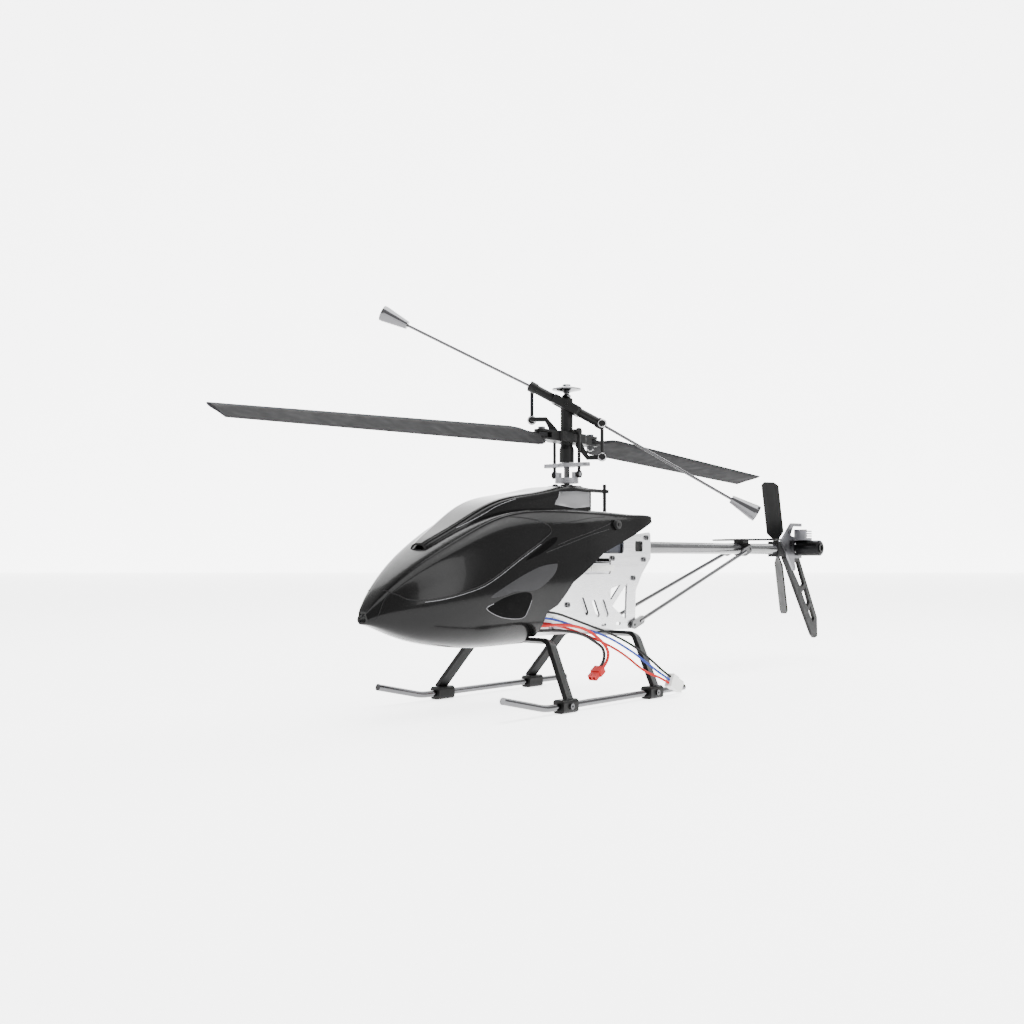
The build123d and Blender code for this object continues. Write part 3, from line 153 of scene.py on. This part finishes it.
def metal(name, color, rough, brushed=None):
    """Bare metal; brushed stretches its grain into lines along one axis."""
    m = Build(name)
    m.shader.inputs["Metallic"].default_value = 1.0
    m.link(m.mix(m.ramp(m.noise(26, 3), 0, 1),
                 shade(color, 1 - METAL_SPREAD), shade(color, 1 + METAL_SPREAD)),
           m.shader.inputs["Base Color"])
    if brushed:
        lines = m.noise(420, 3, brushed)
        m.link(m.ramp(lines, rough - 0.07, rough + 0.1), m.shader.inputs["Roughness"])
        m.bump(lines, METAL_GRAIN, 0.00008)
    else:
        m.link(m.ramp(m.noise(90, 4), rough * 0.7, rough * 1.4), m.shader.inputs["Roughness"])
        m.bump(m.noise(900, 2), METAL_GRAIN * 0.4, 0.00005)
    return m.mat


def carbon(name):
    """Woven carbon under a clear coat."""
    m = Build(name)
    weave = m.add("ShaderNodeTexBrick")
    weave.inputs["Scale"].default_value = 420
    weave.inputs["Mortar Size"].default_value = 0.04
    weave.inputs["Color1"].default_value = (0.012, 0.012, 0.013, 1)
    weave.inputs["Color2"].default_value = (0.045, 0.045, 0.05, 1)
    weave.inputs["Mortar"].default_value = (0.006, 0.006, 0.006, 1)
    m.link(m.coords, weave.inputs["Vector"])
    m.link(weave.outputs["Color"], m.shader.inputs["Base Color"])
    m.link(m.ramp(m.noise(60, 3), 0.16, 0.3), m.shader.inputs["Roughness"])
    m.shader.inputs["Coat Weight"].default_value = 0.5
    m.shader.inputs["Coat Roughness"].default_value = 0.08
    return m.mat


def canopy_paint(name):
    """Gloss black lacquer: fine dust in the coat and faint orange peel."""
    m = Build(name)
    flake = m.noise(5200, 1)
    m.link(m.mix(m.ramp(flake, 0, 1, 0.62, 0.72), (0.002, 0.002, 0.002), (0.008, 0.008, 0.008)),
           m.shader.inputs["Base Color"])
    m.link(m.ramp(m.noise(30, 4), 0.16, 0.24), m.shader.inputs["Roughness"])
    m.bump(m.noise(240, 2), 0.03, 0.0002)
    m.shader.inputs["Specular IOR Level"].default_value = 0.09
    m.shader.inputs["Coat Weight"].default_value = 0.07
    m.shader.inputs["Coat Roughness"].default_value = 0.04
    return m.mat


looks = {
    "black_plastic": plastic("black_plastic", (0.004, 0.004, 0.004), 0.42, shine=0.12),
    "black_metal": metal("black_metal", (0.009, 0.009, 0.0095), 0.3),
    "carbon": carbon("carbon"),
    "frame_aluminium": metal("frame_aluminium", (0.62, 0.62, 0.63), 0.28, (1, 0.06, 1)),
    "steel": metal("steel", (0.075, 0.075, 0.078), 0.22, (1, 1, 0.08)),
    "chromed": metal("chromed", (0.1, 0.1, 0.104), 0.12),
    "grey_metal": metal("grey_metal", (0.16, 0.16, 0.17), 0.33),
    "canopy_paint": canopy_paint("canopy_paint"),
    "blade_plastic": plastic("blade_plastic", (0.0095, 0.0095, 0.01), 0.7, 0.25, shine=0.03),
    "white_nylon": plastic("white_nylon", (0.6, 0.6, 0.58), 0.42, 0.1, 0.03),
    "rubber_black": plastic("rubber_black", (0.012, 0.012, 0.012), 0.6, 0.3),
    "battery_wrap": plastic("battery_wrap", (0.02, 0.03, 0.12), 0.25, 0.05),
    "servo_case": plastic("servo_case", (0.018, 0.02, 0.028), 0.35),
    "wire_black": plastic("wire_black", (0.004, 0.004, 0.004), 0.42, 0.05),
    "wire_blue": plastic("wire_blue", (0.02, 0.035, 0.22), 0.4, 0.05),
    "wire_red": plastic("wire_red", (0.32, 0.004, 0.003), 0.4, 0.05),
    "red_plastic": plastic("red_plastic", (0.3, 0.004, 0.003), 0.35, 0.05),
    "eye_metal": metal("eye_metal", (0.6, 0.6, 0.61), 0.2),
    # Painted shade: a near-black matte look for skins laid over the vent opening and the scoop recess,
    # standing in for the shade inside them.
    "vent_painted_shade": plastic("vent_painted_shade", (0.001, 0.001, 0.001), 0.5, 0.05, 0.1, shine=0.02),
    "flash_grey": plastic("flash_grey", (0.02, 0.02, 0.021), 0.4, 0.05, 0.1, shine=0.1),
    # Painted reflection: a lighter grey brushed metal for the fairing's rear side, where the black gloss
    # mirrors the bright surroundings.
    "cowl_painted_reflection": metal("cowl_painted_reflection", (0.2, 0.2, 0.205), 0.34, (1, 0.1, 1)),
    "seam_black": plastic("seam_black", (0.001, 0.001, 0.001), 0.7, 0.05),
    # Painted highlight: a lighter grey metal for thin lines beside grooves and edges, standing in for the
    # light those edges catch.
    "seam_highlight_grey": metal("seam_highlight_grey", (0.12, 0.12, 0.125), 0.25),
}

slots = {part["node"]: part["material_slot"] for part in frame["record"]["subparts"]}
for name, obj in nodes.items():
    obj.data.materials.clear()
    obj.data.materials.append(looks[slots[name]])


# ------------------------------------------------------------ battery leads
LEADS = {
    "black_lead": (
        (11, -74, 60.6), (15.5, -55, 61.2), (18, -36, 60), (20.5, -17, 54.2),
        (25.4, -6.1, 49.8), (31, 5.3, 45.4), (41, 18, 37.5), (51.5, 25, 28),
    ),
    "blue_lead": (
        (11, -74, 57.6), (15.4, -55, 57.6), (18, -36, 55.5), (21, -17.7, 49.8),
        (30, 4.3, 43.4), (43, 19.5, 31.3), (53, 25.5, 22),
    ),
    "red_lead": (
        (11, -74, 54.8), (15.4, -55, 54.2), (18.2, -36, 51.8), (21, -17.7, 46.8),
        (29, 5.7, 37.7), (39, 15.3, 29.4), (51, 20.4, 18.5),
    ),
    "red_power_lead": (
        (10.6, -74, 51.7), (16.5, -55, 51.3), (22, -36, 52.2), (26, -14, 49.2),
        (30.5, -2.2, 40.7), (32.6, 4.6, 33.2), (32.6, 3.5, 25.2), (32.6, -3.3, 20.95),
    ),
    "black_power_lead": (
        (10.6, -74, 49.3), (16.4, -55, 48.3), (21.6, -36, 48.4), (25.2, -15, 45),
        (28, -3.6, 38.6), (29.6, 3.2, 34.2), (30, 3.5, 25.2), (30, -3.3, 20.95),
    ),
}  # fmt: skip
POWER_WIRE = 0.00105
BALANCE_WIRE = 0.00085
PLUG_BACK = at(61.4, 36.0, 12.4)
PLUG_RUN = 0.008
PLUG_WAY = Vector((0.1, 0.88, -0.465)).normalized()
PLUG_UP = Vector((0, 0.467, 0.884))
LIFTS = {"black_lead": 2.4, "blue_lead": 0.0, "red_lead": -2.4}


def curve(name, points, radius):
    data = bpy.data.curves.new(name, "CURVE")
    data.dimensions = "3D"
    spline = data.splines.new("NURBS")
    spline.points.add(len(points) - 1)
    for point, place in zip(spline.points, points):
        point.co = (*place, 1)
    spline.order_u = 3
    spline.use_endpoint_u = True
    data.resolution_u = 12
    data.bevel_depth = radius
    data.bevel_resolution = 4
    data.use_fill_caps = True
    return new_object(name, data)


def curve_length(obj):
    """Length of a curve's centre line, measured on a bare copy."""
    bare = obj.copy()
    bare.data = obj.data.copy()
    bare.data.bevel_depth = 0
    bpy.context.collection.objects.link(bare)
    shown = bare.evaluated_get(bpy.context.evaluated_depsgraph_get())
    mesh = shown.to_mesh()
    total = sum(
        (mesh.vertices[e.vertices[0]].co - mesh.vertices[e.vertices[1]].co).length
        for e in mesh.edges
    )
    shown.to_mesh_clear()
    bpy.data.objects.remove(bare)
    return total


for name, points in LEADS.items():
    places = [at(*point) for point in points]
    if name in LIFTS:
        end = PLUG_BACK + PLUG_UP * LIFTS[name] / 1000
        places += [end - PLUG_WAY * PLUG_RUN, end]
    power = "power" in name
    radius = POWER_WIRE if power else BALANCE_WIRE
    wire = curve("wire_" + name, places, radius)
    wire.data.materials.append(looks[slots[name]])
    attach(wire, "airframe")
    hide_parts(name)
    curve_length(wire)  # fmt: skip


# ------------------------------------------------------------ canopy trim
# In millimetres: where the rays start, the mesh of a patch, and the room its mesh leaves at the outline.
RAY_START = 60
PATCH_GRID = 2.0
OUTLINE_ROOM = 0.6

canopy = nodes["canopy"]
skin = BVHTree.FromPolygons(
    [canopy.matrix_world @ v.co for v in canopy.data.vertices],
    [p.vertices for p in canopy.data.polygons],
)


def on_skin(y, z, side, lift):
    """The canopy's outer surface at a station and height, or nothing where it ends."""
    start = at(RAY_START * side, y, z)
    place, normal, _, _ = skin.ray_cast(start, Vector((-side, 0, 0)))
    if place is None or place.x * side < 0:
        return None
    return place + normal * lift * (1 if normal.x * side > 0 else -1)


def smooth(points, closed=False, steps=6):
    """More points along a smooth line through the given ones."""
    count = len(points)
    line = []
    for i in range(count if closed else count - 1):
        near = [points[(i + k) % count] if closed else points[min(max(i + k, 0), count - 1)]
                for k in (-1, 0, 1, 2)]
        p0, p1, p2, p3 = (Vector(p) for p in near)
        for step in range(steps):
            t = step / steps
            line.append(0.5 * (
                2 * p1 + (p2 - p0) * t + (2 * p0 - 5 * p1 + 4 * p2 - p3) * t * t
                + (3 * p1 - p0 - 3 * p2 + p3) * t ** 3
            ))
    if not closed:
        line.append(Vector(points[-1]))
    return line


def trim_line(name, points, radius, look, sink):
    """A fine line that follows the canopy's surface on both sides, sunk into it by sink."""
    for side in (1, -1):
        places = [on_skin(p[0], p[1], side, -sink / 1000) for p in smooth(points)]
        places = [place for place in places if place]
        data = bpy.data.curves.new(name, "CURVE")
        data.dimensions = "3D"
        spline = data.splines.new("POLY")
        spline.points.add(len(places) - 1)
        for point, place in zip(spline.points, places):
            point.co = (*place, 1)
        data.bevel_depth = radius / 1000
        data.bevel_resolution = 3
        data.use_fill_caps = True
        obj = new_object(f"{name}_{'left' if side > 0 else 'right'}", data)
        data.materials.append(looks[look])
        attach(obj, "airframe")


def inside(point, outline):
    """Whether a point lies within an outline, by counting the edges a ray crosses."""
    hit = False
    for a, b in zip(outline, outline[1:] + outline[:1]):
        if (a[1] > point[1]) != (b[1] > point[1]):
            if point[0] < (b[0] - a[0]) * (point[1] - a[1]) / (b[1] - a[1]) + a[0]:
                hit = not hit
    return hit


def trim_patch(name, points, look, lift=0.12, rounded=True):
    """A thin skin that lies on the canopy inside an outline, on both sides."""
    outline = smooth(points, closed=True, steps=4) if rounded else [Vector(p) for p in points]
    flat = [Vector((p[0], p[1])) for p in outline]
    edges = [(i, (i + 1) % len(flat)) for i in range(len(flat))]
    rim = list(flat)
    low_y, low_z = (min(p[axis] for p in rim) for axis in (0, 1))
    high_y, high_z = (max(p[axis] for p in rim) for axis in (0, 1))
    for i in range(int((high_y - low_y) / PATCH_GRID) + 1):
        for k in range(int((high_z - low_z) / PATCH_GRID) + 1):
            spot = Vector((low_y + (i + 0.5) * PATCH_GRID, low_z + (k + 0.5) * PATCH_GRID))
            if inside(spot, outline) and min((spot - p).length for p in rim) > OUTLINE_ROOM:
                flat.append(spot)
    verts, _, faces, _, _, _ = delaunay_2d_cdt(flat, edges, [], 1, 0.001)
    for side in (1, -1):
        places = [on_skin(v[0], v[1], side, lift / 1000) for v in verts]
        kept = {old: new for new, old in enumerate(i for i, p in enumerate(places) if p)}
        mesh = bpy.data.meshes.new(name)
        mesh.from_pydata(
            [places[i] for i in kept], [],
            [[kept[i] for i in (face if side > 0 else reversed(face))]
             for face in faces if all(i in kept for i in face)],
        )
        mesh.shade_smooth()
        obj = new_object(f"{name}_{'left' if side > 0 else 'right'}", mesh)
        mesh.materials.append(looks[look])
        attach(obj, "airframe")


WINDSHIELD = (
    (-179.6, 77.5), (-172.5, 75.0), (-168.3, 72.4), (-159.2, 71.5), (-148.2, 72.7), (-134.5, 75.4),
    (-119.4, 79.5), (-106.6, 85.1), (-93.0, 92.0), (-78.2, 99.1), (-62.0, 106.4), (-50.9, 112.3),
    (-49.3, 114.8), (-51.2, 117.7), (-59.4, 120.3), (-74.5, 122.0), (-91.8, 122.5),
)  # fmt: skip
VENT = (
    (-115.2, 65.7), (-109.9, 68.3), (-102.2, 71.5), (-91.3, 74.1), (-82.1, 74.9), (-77.3, 73.7),
    (-76.0, 69.7), (-78.0, 63.4), (-80.2, 59.0), (-87.9, 58.2), (-100.0, 59.5), (-109.2, 62.2),
)  # fmt: skip
SCOOP = (
    (-78.9, 94.8), (-73.8, 98.3), (-65.8, 101.9), (-57.2, 106.5), (-49.3, 109.5), (-44.8, 109.9),
    (-47.6, 106.6), (-54.5, 103.2), (-64.1, 99.1), (-71.9, 96.7),
)  # fmt: skip
FLASH = (
    (-112.5, 72.6), (-91.3, 82.6), (-69.0, 90.3), (-53.6, 92.6), (-50.6, 91.8), (-55.3, 85.3),
    (-68.1, 77.5), (-77.4, 75.6), (-91.4, 75.4), (-102.3, 73.0),
)  # fmt: skip
# Outline of a painted reflection: this lighter grey patch on the fairing's rear side stands in for the
# bright surroundings mirrored in the black gloss.
COWL_REFLECTION = ((-37.6, 132.2), (-32.3, 141.0), (-14.0, 142.2), (1.2, 142.0), (1.2, 132.0), (-16.0, 130.4))
# Painted shade: the vent and scoop patches are near-black skins lying on the surface where the openings
# hold shade.
trim_patch("canopy_vent_shade", VENT, "vent_painted_shade")
trim_patch("canopy_scoop_shade", SCOOP, "vent_painted_shade")
trim_patch("canopy_flash", FLASH, "flash_grey", lift=0.06)
trim_patch("canopy_cowl_reflection", COWL_REFLECTION, "cowl_painted_reflection", rounded=False)
trim_line("windshield_seam", WINDSHIELD, 0.42, "seam_black", sink=0.1)
# Painted highlights: the light-grey lines beside the windshield seam, along the vent's lower rim and along
# the intake edge stand in for light caught by those edges.
trim_line("windshield_seam_highlight", [(y + 0.6, z - 1.0) for y, z in WINDSHIELD[3:11]], 0.2, "seam_highlight_grey", sink=0.05)
trim_line("nose_cap_edge", ((-176.9, 76.6), (-182.2, 68.5), (-186.6, 60.2)), 0.3, "seam_black", sink=0.1)
trim_line("vent_rim_highlight", VENT[6:] + VENT[:2], 0.32, "seam_highlight_grey", sink=0.05)
trim_line("flank_line_high", ((-45.9, 104.9), (-30.1, 109.2), (-10.1, 113.8), (8.9, 118.4), (17.3, 121.0)),
          0.3, "seam_black", sink=0.08)
trim_line("flank_line_low", ((-58.9, 99.9), (-38.4, 105.0), (-10.8, 111.7), (13.2, 116.4)),
          0.3, "seam_black", sink=0.08)
trim_line("shoulder_line", ((-47.3, 118.9), (-24.7, 121.1), (-8.8, 123.6), (9.5, 125.0)),
          0.3, "seam_black", sink=0.08)
trim_line("intake_edge", ((-124.5, 114.8), (-106.7, 122.6), (-92.0, 129.5), (-75.3, 134.6)),
          0.3, "seam_highlight_grey", sink=0.1)


# ------------------------------------------------------------ link eyes
EYE_LENGTH = 0.0045
EYE_CENTRE = 0.0031
RIM_RADIUS = 0.0025
RIM_WIRE = 0.00035
RIM_SINK = 0.0001
FLYBAR_AXIS = Vector((0.594822787, -0.803856861, 0))


def eye_rim(node, top, body):
    """A bright ring pressed round one end of a flybar link."""
    spots = [nodes[node].matrix_world @ v.co for v in nodes[node].data.vertices]
    low = min(p.z for p in spots)
    high = max(p.z for p in spots)
    near = [p for p in spots if (p.z > high - EYE_LENGTH if top else p.z < low + EYE_LENGTH)]
    centre = sum(near, Vector()) / len(near)
    centre.z = high - EYE_CENTRE if top else low + EYE_CENTRE
    bpy.ops.mesh.primitive_torus_add(
        major_radius=RIM_RADIUS, minor_radius=RIM_WIRE, major_segments=40, minor_segments=10,
    )
    rim = bpy.context.object
    rim.name = f"eye_rim_{node}_{'top' if top else 'foot'}"
    side = max((p - centre).dot(FLYBAR_AXIS) for p in near)
    rim.rotation_euler = FLYBAR_AXIS.to_track_quat("Z", "Y").to_euler()
    rim.location = centre + FLYBAR_AXIS * (side - RIM_SINK)
    rim.data.materials.append(looks["eye_metal"])
    rim.data.shade_smooth()
    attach(rim, body)


for link, body in (("low_flybar_link", "low_link"), ("high_flybar_link", "high_link")):
    for top in (True, False):
        eye_rim(link, top, body)


# ------------------------------------------------------------ floor and light
STUDIO_SIZE = 14
MODEL_MIDDLE = (0, 0, 0.1)


def plane(name, location, rotation=(0, 0, 0)):
    bpy.ops.mesh.primitive_plane_add(size=STUDIO_SIZE, location=location, rotation=rotation)
    obj = bpy.context.object
    obj.name = name
    return obj


def glow(name, strength):
    """A pale surface that gives off light of its own."""
    m = Build(name)
    m.link(m.mix(m.ramp(m.noise(2, 2), 0, 1), (0.97, 0.97, 0.97), (1.0, 1.0, 1.0)),
           m.shader.inputs["Emission Color"])
    m.shader.inputs["Emission Strength"].default_value = strength
    m.shader.inputs["Base Color"].default_value = (0.8, 0.8, 0.8, 1)
    m.shader.inputs["Roughness"].default_value = 0.7
    return m.mat


floor = plane("floor", (0, 0, 0))
floor.data.materials.append(glow("floor_glow", 2.8))
wall = plane("wall", (-4.2, 4.8, 3.0), (math.radians(90), 0, math.radians(41)))
wall.data.materials.append(glow("wall_glow", 4.5))


def softbox(name, size, location, power):
    """A soft light that points at the model."""
    light = bpy.data.lights.new(name, "AREA")
    light.shape = "RECTANGLE"
    light.size, light.size_y = size
    light.energy = power
    obj = new_object(name, light)
    obj.location = location
    way = Vector(MODEL_MIDDLE) - Vector(location)
    obj.rotation_euler = way.to_track_quat("-Z", "Y").to_euler()


softbox("top", (1.5, 1.1), (0.2, 0.1, 1.5), 50)
softbox("left", (0.5, 1.3), (-0.9, -1.4, 0.9), 12)
softbox("right", (0.6, 1.0), (1.5, 0.1, 0.8), 14)

world = bpy.data.worlds.new("studio")
world.use_nodes = True
bpy.context.scene.world = world
sky = world.node_tree.nodes["Background"]
sky.inputs["Color"].default_value = (1, 1, 1, 1)
sky.inputs["Strength"].default_value = 1.1
